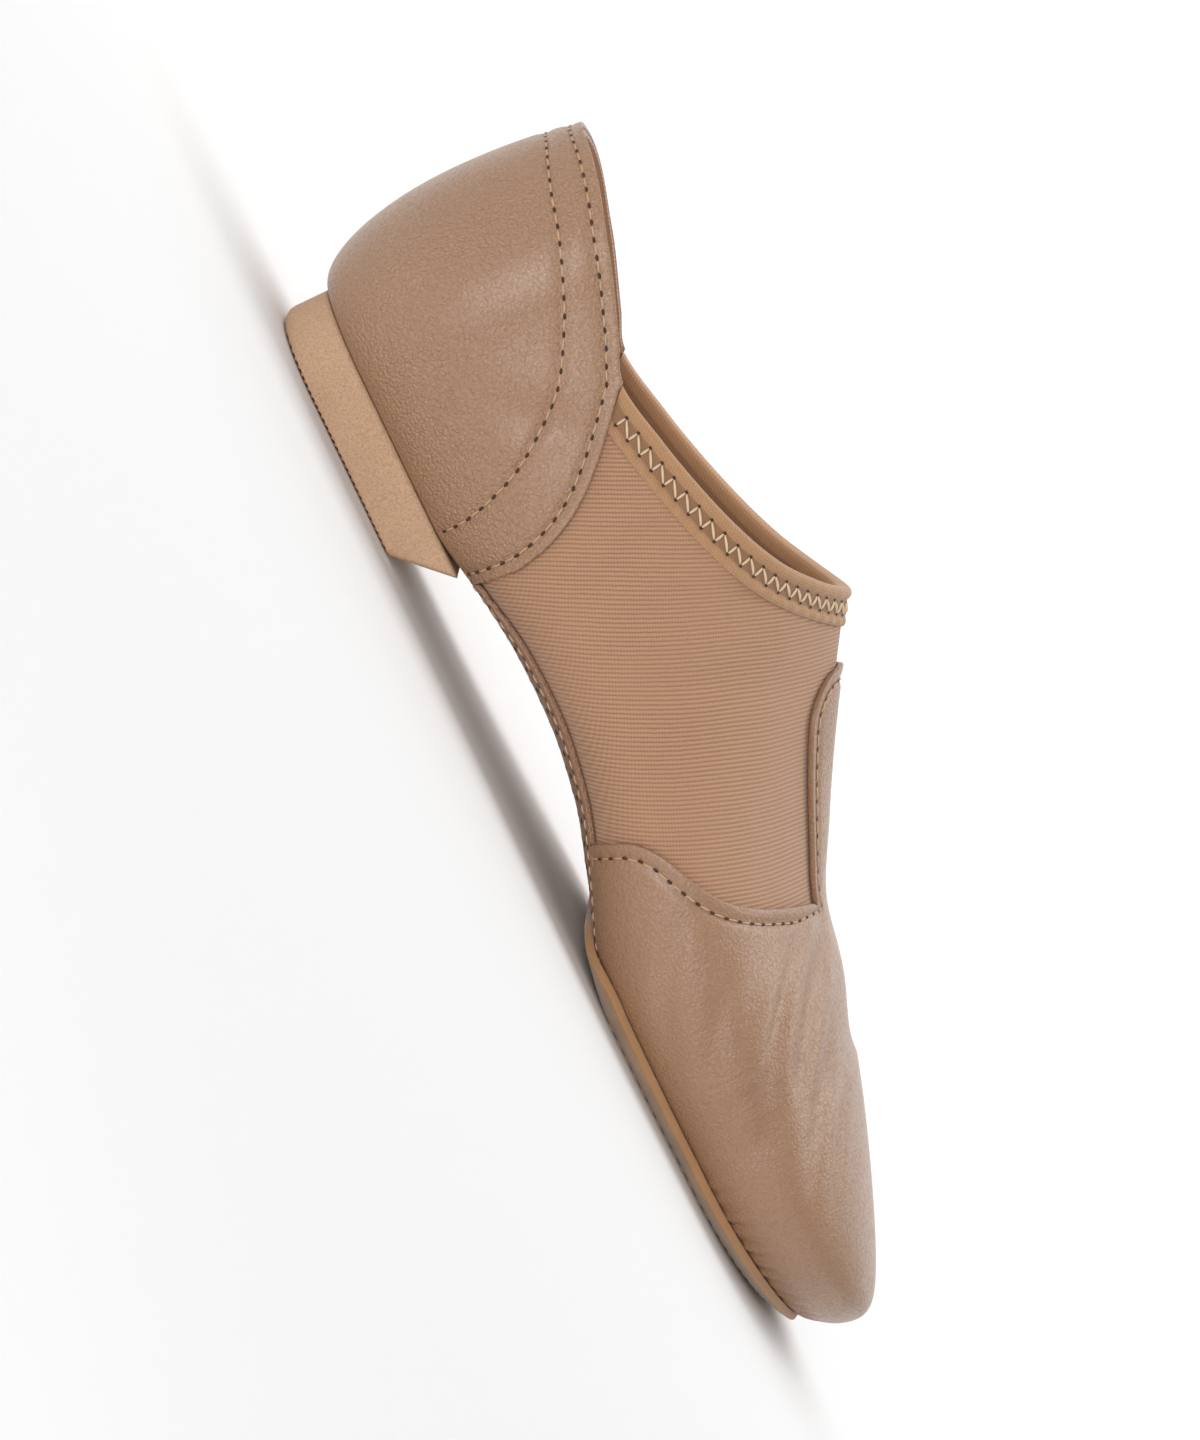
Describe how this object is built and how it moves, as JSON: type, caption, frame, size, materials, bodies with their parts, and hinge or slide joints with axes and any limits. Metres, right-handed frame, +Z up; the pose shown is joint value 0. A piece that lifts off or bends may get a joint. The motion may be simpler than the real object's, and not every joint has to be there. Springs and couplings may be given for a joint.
{
  "type": "jazz shoe",
  "caption": "Right slip-on jazz shoe with a split sole: leather vamp and heel counter, ribbed stretch arch, elastic collar binding, suede forefoot pad and low heel block.",
  "frame": {"origin": "on the floor, under the middle of the shoe's box", "axes": "+X to the toe, +Y to the inner side of the foot, +Z up from the floor"},
  "size_m": [0.247, 0.0888, 0.0786],
  "materials": {
    "leather": "satin pebbled caramel leather with tan thread",
    "knit": "matt fine-ribbed stretch knit",
    "binding": "matt folded elastic with zigzag thread",
    "perforated_leather": "satin leather with rows of small holes",
    "lining": "matt brushed lining",
    "suede": "matt napped suede with a raw edge",
    "heel_rubber": "matt speckled beige crepe rubber"
  },
  "bodies": {
    "root": {"upper": "knit", "vamp": "leather", "heel_counter": "leather", "collar_binding": "binding", "bottom_panel": "perforated_leather", "insole": "lining", "forefoot_pad": "suede", "heel_block": "heel_rubber"}
  },
  "joints": []
}
